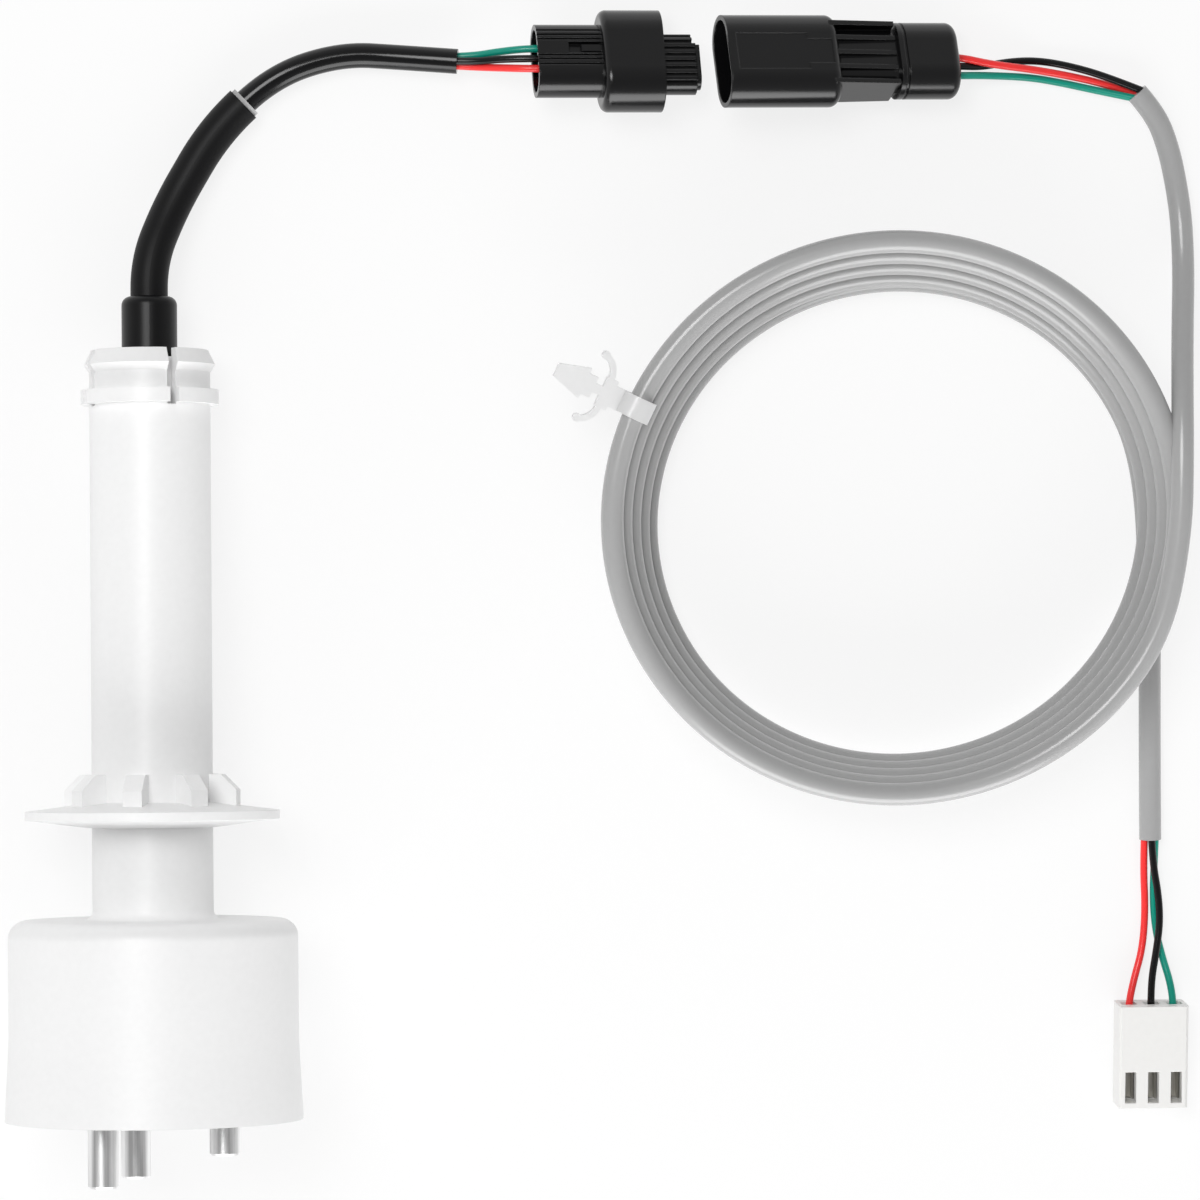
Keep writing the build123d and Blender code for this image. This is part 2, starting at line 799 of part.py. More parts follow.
# Wires from the end of the lead into the receptacle. Inside the lead they run on a little.
lead_end = Vector(*lead_route[-1])
lead_end_dir = (lead_end - Vector(*lead_route[-2])).normalized()
lead_wire_middles = ((57.8, 115.1, 6.7), (57.9, 116.8, 7.15), (57.9, 118.0, 5.9))
lead_wire_offsets = (Vector(0, -0.75, -0.35), Vector(0, 0, 0.75), Vector(0, 0.75, -0.35))
for colour, offset, middle, place in zip(
    ("red", "black", "green"), lead_wire_offsets, lead_wire_middles, socket_row
):
    wire_route = [
        lead_end + offset - lead_end_dir * wire_entry,
        lead_end + offset + lead_end_dir * 2.6,
        middle,
        along(receptacle_plane, place, -1.2),
        along(receptacle_plane, place, socket_rear),
    ]
    save(tube(f"lead_wire_{colour}", wire_route, wire_diameter), f"lead_wire_{colour}")

# Plug: shroud, ribbed middle and rear cap. It rests on the cap's far edge and on its latch.
shroud_width = hood_inner_width - 2 * shroud_clearance
shroud_height = hood_inner_height - 2 * shroud_clearance
cap_base = shroud_length + middle_length
plug_length = cap_base + cap_length
plug_z = half_drop(cap_width, cap_height, plug_roll) * cos(
    radians(plug_pitch)
) + plug_length * sin(radians(plug_pitch))
plug_z -= cap_edge_radius * (cos(radians(plug_pitch)) + sin(radians(plug_pitch)) - 1)
plug_plane = connector_plane((plug_mouth_x, plug_y, plug_z), plug_pitch, plug_roll)
plug_axis = Axis(plug_plane.origin, plug_plane.z_dir)
pin_row = contact_row(plug_row)
tube_end = cap_base + cap_grip
plug_seal_base = tube_end - plug_seal_recess - seal_thickness
plug_seal_width = middle_width - 2 * seal_wall
plug_seal_height = middle_height - 2 * seal_wall

with BuildPart() as plug:
    with BuildSketch(plug_plane):
        SlotOverall(shroud_width, shroud_height)
    extrude(amount=shroud_length)
    fillet(plug.edges().group_by(plug_axis)[-1], shroud_edge_radius)
    with BuildSketch(plug_plane.offset(shroud_length - shroud_edge_radius)):
        SlotOverall(middle_width, middle_height)
    extrude(amount=shroud_edge_radius + middle_length + cap_grip)
    for step in range(-2, 3):
        with BuildSketch(side_plane(plug_plane, step * wing_rib_pitch)):
            with BuildLine():
                Polyline(
                    (shroud_length - shroud_edge_radius, wing_rib_front / 2),
                    (cap_base - cap_rim_gap, wing_rib_back / 2),
                    (cap_base - cap_rim_gap, -wing_rib_back / 2),
                    (shroud_length - shroud_edge_radius, -wing_rib_front / 2),
                    close=True,
                )
            make_face()
        extrude(amount=wing_rib_thickness / 2, both=True)
    with BuildSketch(plug_plane):
        SlotOverall(shroud_width - 2 * shroud_wall, shroud_height - 2 * shroud_wall)
    extrude(amount=mouth_depth, mode=Mode.SUBTRACT)
    with BuildSketch(plug_plane.offset(panel_start)):
        with Locations((0, shroud_height / 2)):
            Rectangle(panel_width, 2 * panel_depth)
    extrude(amount=panel_length, mode=Mode.SUBTRACT)
    with BuildSketch(plug_plane.offset(panel_start + panel_length)):
        with Locations((0, shroud_height / 2)):
            Rectangle(panel_step_width, 2 * panel_depth)
    extrude(amount=panel_step_length, mode=Mode.SUBTRACT)
    with BuildSketch(plug_plane.offset(plug_seal_base)):
        SlotOverall(plug_seal_width, plug_seal_height)
    extrude(amount=tube_end - plug_seal_base, mode=Mode.SUBTRACT)
    with BuildSketch(plug_plane.offset(mouth_depth)):
        with Locations(*pin_row):
            Circle(passage / 2)
    extrude(amount=tube_end - mouth_depth, mode=Mode.SUBTRACT)
    with BuildSketch(side_plane(plug_plane)):
        with BuildLine():
            Polyline(
                (latch_start, -shroud_height / 2 + 0.4),
                (latch_start + latch_foot, -shroud_height / 2 + 0.4),
                (latch_start + latch_foot, -shroud_height / 2 - latch_gap),
                (latch_start + latch_length, -shroud_height / 2 - latch_drop + latch_thickness),
                (latch_start + latch_length, -shroud_height / 2 - latch_drop),
                (latch_start + latch_length - latch_pad, -shroud_height / 2 - latch_drop),
                (latch_start, -shroud_height / 2 - latch_gap - latch_thickness),
                close=True,
            )
        make_face()
    extrude(amount=latch_width / 2, both=True)
save(plug, "plug_housing")

with BuildPart() as cap:
    with BuildSketch(plug_plane.offset(cap_base)):
        SlotOverall(cap_width, cap_height)
    extrude(amount=cap_length)
    fillet(cap.edges().group_by(plug_axis)[-1], cap_edge_radius)
    with BuildSketch(plug_plane.offset(cap_base)):
        SlotOverall(middle_width + 2 * fit_clearance, middle_height + 2 * fit_clearance)
    extrude(amount=cap_grip, mode=Mode.SUBTRACT)
    with BuildSketch(plug_plane.offset(cap_base + cap_groove_start)):
        SlotOverall(cap_width + 1, cap_height + 1)
        SlotOverall(
            cap_width - 2 * cap_groove_depth,
            cap_height - 2 * cap_groove_depth,
            mode=Mode.SUBTRACT,
        )
    extrude(amount=cap_groove_width, mode=Mode.SUBTRACT)
    with BuildSketch(plug_plane.offset(cap_base)):
        SlotOverall(cap_window_width, cap_window_height)
    extrude(amount=cap_length, mode=Mode.SUBTRACT)
save(cap, "plug_rear_cap")

plug_seal = block(
    plug_plane,
    plug_seal_base,
    seal_thickness,
    plug_seal_width - 2 * fit_clearance,
    plug_seal_height - 2 * fit_clearance,
    pin_row,
    passage,
)
save(plug_seal, "plug_wire_seal")

retainer = block(
    plug_plane,
    mouth_depth - retainer_thickness,
    retainer_thickness,
    shroud_width - 2 * shroud_wall - 2 * fit_clearance,
    shroud_height - 2 * shroud_wall - 2 * fit_clearance,
    pin_row,
    2 * (pin_radius + fit_clearance),
)
save(retainer, "plug_retainer")

pin_rear = plug_seal_base + seal_thickness + contact_tail
for colour, place in zip(("red", "black", "green"), reversed(pin_row)):
    with BuildPart() as pin:
        with BuildSketch(plug_plane.offset(mouth_depth)):
            with Locations(place):
                Circle(contact_radius)
        extrude(amount=pin_rear - mouth_depth)
        with BuildSketch(plug_plane.offset(mouth_depth - retainer_thickness - pin_length)):
            with Locations(place):
                Circle(pin_radius)
        extrude(amount=retainer_thickness + pin_length)
    save(pin, f"pin_contact_{colour}")

# Grey cable: a run to the coil, the coil as one closed ring and the tail from under it
cable_radius = cable_diameter / 2
run_route = [
    (166.4, 111.0, cable_radius),
    (169.6, 107.5, cable_radius),
    (171.9, 101.9, cable_radius),
    (173.4, 95.4, cable_radius),
    (174.3, 89.3, 2.0),
    (174.8, 81.0, 2.6),
    (174.2, 72.0, 6.5),
    (173.2, 62.5, 12.0),
    (172.3, 53.0, 16.6),
    (171.5, 44.0, 18.0),
]
save(tube("cable_run", run_route, cable_diameter), "cable_run")

tail_route = [
    (168.2, 36.0, cable_radius),
    (169.5, 22.0, cable_radius),
    (170.1, 8.0, cable_radius),
    (170.3, -5.0, cable_radius),
    (170.55, -16.5, cable_radius),
]
save(tube("cable_tail", tail_route, cable_diameter), "cable_tail")

coil_rise = coil_top_z - cable_radius
ring_sections = [(cable_radius, angle) for angle in (-80, -40, 0)]
ring_sections += [(coil_top_z, angle) for angle in (0, 40, 80)]
with BuildPart() as coil:
    for side, kind in ((1, Mode.ADD), (-1, Mode.SUBTRACT)):
        for middle_z, angle in ring_sections:
            share = (middle_z - cable_radius) / coil_rise
            centre_x = coil_bottom_centre[0] + share * (coil_top_centre[0] - coil_bottom_centre[0])
            centre_y = coil_bottom_centre[1] + share * (coil_top_centre[1] - coil_bottom_centre[1])
            radius_x = coil_bottom_radius_x + share * (coil_top_radius_x - coil_bottom_radius_x)
            radius_y = coil_bottom_radius_y + share * (coil_top_radius_y - coil_bottom_radius_y)
            reach = side * cable_radius * cos(radians(angle))
            height = middle_z + cable_radius * sin(radians(angle))
            with BuildSketch(Plane.XY.offset(height)):
                with Locations((centre_x, centre_y)):
                    Ellipse(radius_x + reach, radius_y + reach)
        loft(ruled=True, mode=kind)
save(coil, "cable_coil")

# Wires from the plug to the grey cable, the red one over the black one. They run on inside the cable.
plug_wire_routes = (
    (
        (141.0, 115.8, 4.15),
        (148.6, 114.9, 2.2),
        (155.1, 113.8, 0.9),
        (161.0, 112.5, 0.9),
        (167.1, 110.6, 1.0),
    ),
    (
        (139.8, 115.3, 2.5),
        (144.5, 116.2, 1.2),
        (149.5, 116.4, 0.8),
        (155.0, 115.5, 1.0),
        (161.3, 113.7, 1.8),
        (167.4, 111.3, 2.6),
    ),
    (
        (140.5, 113.9, 2.6),
        (148.0, 113.6, 0.8),
        (153.5, 112.7, 0.7),
        (159.5, 111.4, 1.0),
        (166.5, 110.0, 2.2),
    ),
)
for colour, route, place in zip(("red", "black", "green"), plug_wire_routes, reversed(pin_row)):
    wire_route = [
        along(plug_plane, place, pin_rear),
        along(plug_plane, place, plug_length + 0.6),
        *route,
    ]
    save(tube(f"plug_wire_{colour}", wire_route, wire_diameter), f"plug_wire_{colour}")

# Crimp housing for a pin header, with three crimped contacts under its windows
header_places = [(header_x + header_pitch * step) for step in (-1, 0, 1)]
header_end_y = header_top_y - header_length
with BuildPart() as header:
    with BuildSketch(Plane.XY):
        with Locations((header_x, header_top_y - header_length / 2)):
            Rectangle(header_width, header_length)
    extrude(amount=header_thickness)
    chamfer(header.edges().filter_by(Axis.Y), header_chamfer)
    with BuildSketch(Plane.XZ.offset(-header_top_y)):
        for x in header_places:
            with Locations((x, header_cavity_z)):
                Rectangle(header_hole, header_hole)
    extrude(amount=header_hole_depth, mode=Mode.SUBTRACT)
    with BuildSketch(Plane.XY.offset(header_thickness)):
        for x in header_places:
            with Locations((x, header_end_y + header_window_from_end + header_window_length / 2)):
                Rectangle(header_window_width, header_window_length)
    extrude(amount=header_cavity_z - header_thickness, mode=Mode.SUBTRACT)
save(header, "header_housing")

contact_floor = header_cavity_z - header_hole / 2
contact_start = header_top_y - header_contact_depth
contact_end = header_top_y - header_hole_depth + fit_clearance
for colour, x in zip(("red", "black", "green"), header_places):
    with BuildPart() as header_contact:
        with BuildSketch(Plane.XZ.offset(-contact_start)):
            with Locations((x, contact_floor + header_contact_height / 2)):
                Rectangle(header_contact_width, header_contact_height)
            with Locations((x, contact_floor + header_contact_wall + header_contact_height / 2)):
                Rectangle(
                    header_contact_width - 2 * header_contact_wall,
                    header_contact_height,
                    mode=Mode.SUBTRACT,
                )
        extrude(amount=contact_start - contact_end)
    save(header_contact, f"header_contact_{colour}")

header_wire_z = contact_floor + header_contact_wall + wire_diameter / 2 + 2 * fit_clearance
header_wire_routes = (
    (
        (169.6, -15.3, 1.65),
        (169.6, -21.4, 0.9),
        (170.1, -28.7, 0.7),
        (169.6, -35.6, 1.3),
        (168.0, -40.6, 2.4),
    ),
    (
        (170.6, -15.3, 2.6),
        (171.0, -20.5, 2.2),
        (172.1, -26.1, 2.1),
        (172.4, -31.0, 2.3),
        (171.7, -36.0, 2.75),
        (171.0, -40.5, 2.7),
    ),
    (
        (171.5, -15.3, 1.65),
        (171.5, -20.7, 0.8),
        (171.4, -27.0, 0.7),
        (171.9, -32.5, 0.8),
        (173.1, -37.4, 1.6),
        (174.3, -41.4, 2.6),
    ),
)
for colour, route, x in zip(("red", "black", "green"), header_wire_routes, header_places):
    wire_route = [
        *route,
        (x, header_top_y - 0.6, header_wire_z),
        (x, contact_start - header_crimp_length, header_wire_z),
    ]
    save(tube(f"header_wire_{colour}", wire_route, wire_diameter), f"header_wire_{colour}")

# Cable clip: an open strap over the coil's top turn, a base plate with two arms and an arrowhead
clip_out = Vector(-cos(radians(clip_heading)), sin(radians(clip_heading)), 0)
clip_centre = Vector(clip_x, clip_y, coil_top_z)
clip_radial = Plane(origin=clip_centre, x_dir=clip_out, z_dir=clip_out.cross(Vector(0, 0, 1)))
clip_flat = Plane(origin=clip_centre, x_dir=clip_out, z_dir=(0, 0, 1))
strap_inner = cable_radius + clip_gap
strap_outer = strap_inner + clip_strap_thickness
with BuildPart() as clip:
    with BuildSketch(clip_radial):
        Circle(strap_outer)
        Circle(strap_inner, mode=Mode.SUBTRACT)
        with Locations(Rotation(0, 0, clip_opening_angle) * Location((strap_outer, 0))):
            Rectangle(2 * strap_outer, 2 * strap_inner, mode=Mode.SUBTRACT)
    extrude(amount=clip_strap_width / 2, both=True)
    with BuildSketch(clip_flat):
        with Locations((clip_base_out + clip_base_thickness / 2, 0)):
            Rectangle(clip_base_thickness, clip_base_width)
        with Locations(((clip_bridge_start + clip_base_out) / 2, 0)):
            Rectangle(clip_base_out - clip_bridge_start, clip_strap_width)
        with BuildLine():
            Polyline(
                (clip_base_out + clip_base_thickness, clip_neck_width / 2),
                (clip_tooth_out, clip_neck_width / 2),
                (clip_tooth_out, clip_tooth_width / 2),
                (clip_arrow_base, clip_tooth_width / 2),
                (clip_arrow_base, clip_arrow_width / 2),
                (clip_tip_out, clip_tip_width / 2),
                (clip_tip_out, -clip_tip_width / 2),
                (clip_arrow_base, -clip_arrow_width / 2),
                (clip_arrow_base, -clip_tooth_width / 2),
                (clip_tooth_out, -clip_tooth_width / 2),
                (clip_tooth_out, -clip_neck_width / 2),
                (clip_base_out + clip_base_thickness, -clip_neck_width / 2),
                close=True,
            )
        make_face()
        for side in (-1, 1):
            with BuildLine():
                ThreePointArc(
                    (clip_arm_root, side * (clip_base_width / 2 - 0.1)),
                    (clip_arm_bow[0], side * clip_arm_bow[1]),
                    (clip_arm_tip, side * clip_arm_reach),
                )
            trace(line_width=clip_arm_thickness)
            with Locations((clip_arm_tip, side * clip_arm_reach)):
                Circle(clip_bulb_radius)
    extrude(amount=clip_arrow_thickness / 2, both=True)
save(clip, "cable_clip")
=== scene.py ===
import json
from math import cos, pi, radians, sin

import bpy
from mathutils import Matrix, Vector


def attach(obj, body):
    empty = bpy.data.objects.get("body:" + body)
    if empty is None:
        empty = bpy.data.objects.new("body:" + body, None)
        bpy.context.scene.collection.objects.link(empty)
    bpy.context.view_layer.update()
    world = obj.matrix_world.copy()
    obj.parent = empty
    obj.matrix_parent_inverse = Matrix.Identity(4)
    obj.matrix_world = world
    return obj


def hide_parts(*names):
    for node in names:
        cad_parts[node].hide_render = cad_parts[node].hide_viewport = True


# A water level probe on a pale table with its lead, connectors and coiled cable, seen from above.
# Sizes and places are in metres, but for the coil and the routes, which are in millimetres.
# MM turns a length in millimetres into metres.
MM = 0.001

# Camera: high above the table, almost straight down, with its roll in degrees
CAMERA_PLACE = (0, 127.54 * MM, 900 * MM)
CAMERA_TARGET = (75.85 * MM, 25.21 * MM, 0)
CAMERA_ROLL = 0.169
CAMERA_LENS = 160.8
CAMERA_SENSOR = 36
CAMERA_REACH = 10

# Table: its gap below the pieces, its own shade and how far it is plain white to the camera
TABLE_CENTRE = (0.07, 0.03, 0)
TABLE_SIZE = 8
TABLE_GAP = 0.2 * MM
TABLE_SHADE = 0.86
TABLE_ROUGHNESS = 0.7
TABLE_WHITE_SHARE = 0.8

# Lamps: a key lamp high over the table, and a tall panel that shines along it from the near side
KEY_POWER = 6.7
KEY_PLACE = (-0.26, 0.42, 1.08)
KEY_SIZE = (0.5, 0.5)
PANEL_POWER = 13.0
PANEL_PLACE = (0.1, -0.9, 0.45)
PANEL_TARGET = (0.1, 0, 0.45)
PANEL_SIZE = (1.2, 0.8)

# Room: its strength at the horizon and its share of that overhead
WORLD_STRENGTH = 0.74
ZENITH_SHARE = 0.26

# Edges of the probe that turn more than this stay sharp, and the others are shaded as curved.
# Points nearer to each other than SEAM_GAP are one point for that.
SHARP_ANGLE = radians(28)
SEAM_GAP = 0.0005 * MM

# Cords: thickness and true length of each, and how finely each curve is cut into faces
LEAD_DIAMETER = 4.2 * MM
CABLE_DIAMETER = 3.8 * MM
WIRE_DIAMETER = 1.25 * MM
PLUG_WIRE_LENGTH = 39 * MM
HEADER_WIRE_LENGTH = 35 * MM
CORD_STEPS_AROUND = 8
CORD_STEPS_ALONG = 10

# The coil: five turns, each smaller and lower than the last. Its points stand COIL_OFFSET of a turn
# back, and from COIL_TUCK_START turns on it swings out again under the turn above, to the tail.
COIL_TURNS = 5
COIL_POINTS_PER_TURN = 18
COIL_START_RADIUS = (49.39, 47.76)
COIL_RADIUS_LOSS = (1.41, 1.39)
COIL_START_CENTRE = (124.05, 41.15)
COIL_CENTRE_SHIFT = (0.41, -0.64)
COIL_START_HEIGHT = 20.0
COIL_TURN_DROP = 3.62
COIL_LOWEST = 1.9
COIL_OFFSET = 0.04
COIL_TUCK_START = 4.45
COIL_TUCK = 2.0

# Routes in millimetres, given as they lie on the table
LEAD_ROUTE = [
    (0, 72.85, 9.79),
    (0, 83.2, 8.34),
    (3.9, 92.4, 4.9),
    (10.9, 104.3, 3.3),
    (20.7, 113.6, 3.1),
    (32.0, 117.3, 2.7),
    (42.4, 116.7, 3.0),
    (51.4, 116.1, 4.2),
]
LEAD_WIRE_ROUTES = {
    "red": [
        (50.6, 115.4, 3.7),
        (54.0, 115.2, 4.2),
        (57.8, 115.1, 6.7),
        (62.8, 115.0, 9.5),
        (66.2, 115.0, 9.2),
    ],
    "black": [
        (50.6, 116.2, 4.8),
        (54.0, 116.1, 5.3),
        (57.9, 116.5, 7.15),
        (62.8, 116.65, 8.7),
        (66.1, 116.65, 8.4),
    ],
    "green": [
        (50.6, 116.9, 3.7),
        (54.0, 117.0, 4.2),
        (57.9, 117.7, 5.9),
        (62.8, 118.3, 7.9),
        (66.1, 118.3, 7.6),
    ],
}
RUN_ROUTE = [
    (166.4, 111.0, 1.9),
    (169.6, 107.5, 1.9),
    (171.9, 101.9, 1.9),
    (173.4, 95.4, 1.9),
    (174.3, 89.3, 2.2),
    (174.4, 81.0, 4.2),
    (173.4, 72.0, 9.2),
    (172.4, 62.5, 15.0),
    (171.9, 52.0, 18.9),
    (171.7, 38.0, 19.9),
]
TAIL_ROUTE = [
    (169.9, 23.5, 1.9),
    (170.1, 8.0, 1.9),
    (170.3, -5.0, 1.9),
    (170.55, -16.5, 1.9),
]
PLUG_WIRE_ROUTES = {
    "red": [
        (129.0, 117.1, 5.5),
        (135.2, 117.1, 4.3),
        (141.0, 115.8, 4.15),
        (148.6, 114.9, 2.2),
        (155.1, 113.8, 0.9),
        (161.0, 112.5, 0.9),
        (167.1, 110.6, 1.0),
    ],
    "black": [
        (129.1, 115.5, 6.2),
        (135.3, 115.5, 5.0),
        (139.8, 115.3, 2.5),
        (144.5, 116.2, 1.2),
        (149.5, 116.4, 0.8),
        (155.0, 115.5, 1.0),
        (161.3, 113.7, 1.8),
        (167.4, 111.3, 2.6),
    ],
    "green": [
        (129.3, 113.9, 6.9),
        (135.4, 113.9, 5.7),
        (140.5, 113.9, 2.6),
        (148.0, 113.6, 0.8),
        (153.5, 112.7, 0.7),
        (159.5, 111.4, 1.0),
        (166.5, 110.0, 2.2),
    ],
}
HEADER_WIRE_ROUTES = {
    "red": [
        (169.6, -15.3, 1.65),
        (169.6, -21.4, 0.9),
        (170.1, -28.7, 0.7),
        (169.6, -35.6, 1.3),
        (168.0, -40.6, 2.4),
        (166.94, -45.4, 2.83),
        (166.94, -50.3, 2.83),
    ],
    "black": [
        (170.6, -15.3, 2.6),
        (171.0, -20.5, 2.2),
        (172.1, -26.1, 2.1),
        (172.4, -31.0, 2.3),
        (171.7, -36.0, 2.75),
        (171.0, -40.5, 2.7),
        (170.9, -45.4, 2.83),
        (170.9, -50.3, 2.83),
    ],
    "green": [
        (171.5, -15.3, 1.65),
        (171.5, -20.7, 0.8),
        (171.4, -27.0, 0.7),
        (171.9, -32.5, 0.8),
        (173.1, -37.4, 1.6),
        (174.3, -41.4, 2.6),
        (174.86, -45.4, 2.83),
        (174.86, -50.3, 2.83),
    ],
}

# Surfaces: the fine marks, the shades of the colour that they vary between, and each material.
# Grain is how strong the marks are, gloss how much of the light reflects, and edge the radius to
# which sharp edges are softened.
DEEP_BLACK = (0.004, 0.004, 0.0044)
COAT_ROUGHNESS = 0.15
NOISE_DETAIL = 4
EDGE_SAMPLES = 4
GRAIN_SCALE = 900
GRAIN_DEPTH = 0.05 * MM
MARK_SCALE = 600
MARK_STRENGTH = 0.3
MARK_DEPTH = 0.04 * MM
MARK_STRETCH = (2.5, 0.012, 0.3)
SHIFT_POSITIONS = (0.3, 0.7)
PLASTIC_SHARES = (0.99, 1.01)
METAL_SHARES = (0.55, 1.04)
PLASTICS = {
    "white_plastic": {
        "colour": (0.89, 0.89, 0.89),
        "roughness": 0.42,
        "coat": 0.05,
        "grain": 0.02,
        "edge": 0.12 * MM,
    },
    "carrier_plastic": {"colour": (0.05, 0.05, 0.055), "roughness": 0.45},
    "seal_rubber": {"colour": (0.02, 0.02, 0.02), "roughness": 0.6},
    "boot_rubber": {"colour": DEEP_BLACK, "roughness": 0.34, "gloss": 0.25, "grain": 0.04},
    "sleeve_black": {"colour": DEEP_BLACK, "roughness": 0.48, "gloss": 0.2, "grain": 0.06},
    "lead_black": {"colour": DEEP_BLACK, "roughness": 0.16, "gloss": 0.38, "grain": 0.02},
    "liner_grey": {"colour": (0.42, 0.42, 0.42), "roughness": 0.6},
    "wire_red": {"colour": (0.93, 0.035, 0.035), "roughness": 0.28, "grain": 0.05},
    "wire_black": {"colour": DEEP_BLACK, "roughness": 0.22, "gloss": 0.35, "grain": 0.03},
    "wire_green": {"colour": (0.0, 0.31, 0.22), "roughness": 0.28, "grain": 0.05},
    "connector_black": {"colour": DEEP_BLACK, "roughness": 0.2, "grain": 0.02, "edge": 0.3 * MM},
    "cable_grey": {"colour": (0.375, 0.375, 0.375), "roughness": 0.24, "coat": 0.2, "grain": 0.03},
    "header_white": {
        "colour": (0.8, 0.795, 0.78),
        "roughness": 0.35,
        "grain": 0.05,
        "edge": 0.2 * MM,
    },
    "clip_nylon": {"colour": (0.92, 0.92, 0.92), "roughness": 0.3, "coat": 0.1, "grain": 0.03},
}
METALS = {
    "stainless": {"colour": (0.95, 0.95, 0.95), "roughness": 0.36},
    "tinned_brass": {"colour": (0.74, 0.72, 0.66), "roughness": 0.3},
}
EXTRA_VALUES = {
    "clip_nylon": {"Transmission Weight": 0.35},
    "cable_grey": {"Sheen Weight": 0.3, "Sheen Roughness": 0.25},
}

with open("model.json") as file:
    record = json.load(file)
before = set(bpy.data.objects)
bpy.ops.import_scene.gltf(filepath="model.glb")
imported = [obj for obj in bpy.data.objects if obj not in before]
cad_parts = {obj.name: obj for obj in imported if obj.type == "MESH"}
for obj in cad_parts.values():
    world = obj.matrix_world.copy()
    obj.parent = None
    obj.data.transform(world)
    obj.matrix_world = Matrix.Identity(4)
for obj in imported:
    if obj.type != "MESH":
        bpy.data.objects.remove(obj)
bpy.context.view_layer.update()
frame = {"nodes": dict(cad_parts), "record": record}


def make_camera():
    """A long lens that looks down on the table, rolled a little about its own axis."""
    data = bpy.data.cameras.new("camera")
    data.sensor_width = CAMERA_SENSOR
    data.lens = CAMERA_LENS
    data.clip_end = CAMERA_REACH
    camera = bpy.data.objects.new("camera", data)
    bpy.context.collection.objects.link(camera)
    place = Vector(CAMERA_PLACE)
    back = (place - Vector(CAMERA_TARGET)).normalized()
    across = Vector((0, 1, 0)).cross(back).normalized()
    up = back.cross(across)
    turn = Matrix.Rotation(radians(CAMERA_ROLL), 3, back)
    axes = Matrix((turn @ across, turn @ up, back)).transposed()
    camera.matrix_world = Matrix.Translation(place) @ axes.to_4x4()
    bpy.context.scene.camera = camera


def cord_curve(name, route, diameter):
    """A round cord as one smooth spline, with the route's points as its control points.

    The bevel is one metre deep and each point's radius scales it down to the cord's own radius.
    """
    data = bpy.data.curves.new(name, "CURVE")
    data.dimensions = "3D"
    data.bevel_depth = 1
    data.bevel_resolution = CORD_STEPS_AROUND
    data.resolution_u = CORD_STEPS_ALONG
    data.use_fill_caps = True
    spline = data.splines.new("NURBS")
    spline.points.add(len(route) - 1)
    for point, (x, y, z) in zip(spline.points, route):
        point.co = (x * MM, y * MM, z * MM, 1)
        point.radius = diameter / 2
    spline.order_u = 3
    spline.use_endpoint_u = True
    piece = bpy.data.objects.new(name, data)
    bpy.context.collection.objects.link(piece)
    return piece


def coil_route():
    """The turns of the coil, clockwise from its right side, winding down and inward."""
    points = []
    for step in range(1, COIL_TURNS * COIL_POINTS_PER_TURN):
        turn = (step + 1) / COIL_POINTS_PER_TURN - COIL_OFFSET
        angle = 2 * pi * turn
        inward = turn - COIL_TUCK * max(turn - COIL_TUCK_START, 0)
        radius_x = COIL_START_RADIUS[0] - COIL_RADIUS_LOSS[0] * inward
        radius_y = COIL_START_RADIUS[1] - COIL_RADIUS_LOSS[1] * inward
        x = COIL_START_CENTRE[0] + COIL_CENTRE_SHIFT[0] * turn + radius_x * cos(angle)
        y = COIL_START_CENTRE[1] + COIL_CENTRE_SHIFT[1] * turn - radius_y * sin(angle)
        points.append((x, y, max(COIL_START_HEIGHT - COIL_TURN_DROP * turn, COIL_LOWEST)))
    return points


make_camera()

lead = cord_curve("lead", LEAD_ROUTE, LEAD_DIAMETER)
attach(lead, "root")
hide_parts("lead_cable")
lead_pieces = [frame["nodes"][name] for name in ("outer_sleeve", "sleeve_liner")]
for colour, route in LEAD_WIRE_ROUTES.items():
    wire = cord_curve(f"lead_wire_{colour}_curve", route, WIRE_DIAMETER)
    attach(wire, "root")
    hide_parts(f"lead_wire_{colour}")
    lead_pieces.append(wire)
receptacle_nodes = [f"receptacle_{part}" for part in ("housing", "core", "ring_seal", "wire_seal")]
receptacle_nodes += [f"socket_contact_{colour}" for colour in LEAD_WIRE_ROUTES]
lead_pieces += [frame["nodes"][name] for name in receptacle_nodes]

cable = cord_curve("grey_cable", RUN_ROUTE + coil_route() + TAIL_ROUTE, CABLE_DIAMETER)
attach(cable, "root")
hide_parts("cable_run", "cable_coil", "cable_tail")
cable_nodes = ["plug_housing", "plug_rear_cap", "plug_wire_seal", "plug_retainer"]
cable_nodes += ["header_housing", "cable_clip"]

wires = {}
for group, routes, length, contacts in (
    ("plug_wire", PLUG_WIRE_ROUTES, PLUG_WIRE_LENGTH, "pin_contact"),
    ("header_wire", HEADER_WIRE_ROUTES, HEADER_WIRE_LENGTH, "header_contact"),
):
    for colour, route in routes.items():
        wire = cord_curve(f"{group}_{colour}_curve", route, WIRE_DIAMETER)
        wires[f"{group}_{colour}"] = wire
        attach(wire, "root")
        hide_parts(f"{group}_{colour}")


def principled(name, colour, roughness, metallic=0.0, coat=0.0, gloss=0.5):
    """A new material with its shader's plain numbers set on the shader itself."""
    material = bpy.data.materials.new(name)
    material.use_nodes = True
    shader = material.node_tree.nodes["Principled BSDF"]
    shader.inputs["Base Color"].default_value = (*colour, 1)
    shader.inputs["Roughness"].default_value = roughness
    shader.inputs["Metallic"].default_value = metallic
    shader.inputs["Specular IOR Level"].default_value = gloss
    shader.inputs["Coat Weight"].default_value = coat
    shader.inputs["Coat Roughness"].default_value = COAT_ROUGHNESS
    return material, material.node_tree, shader


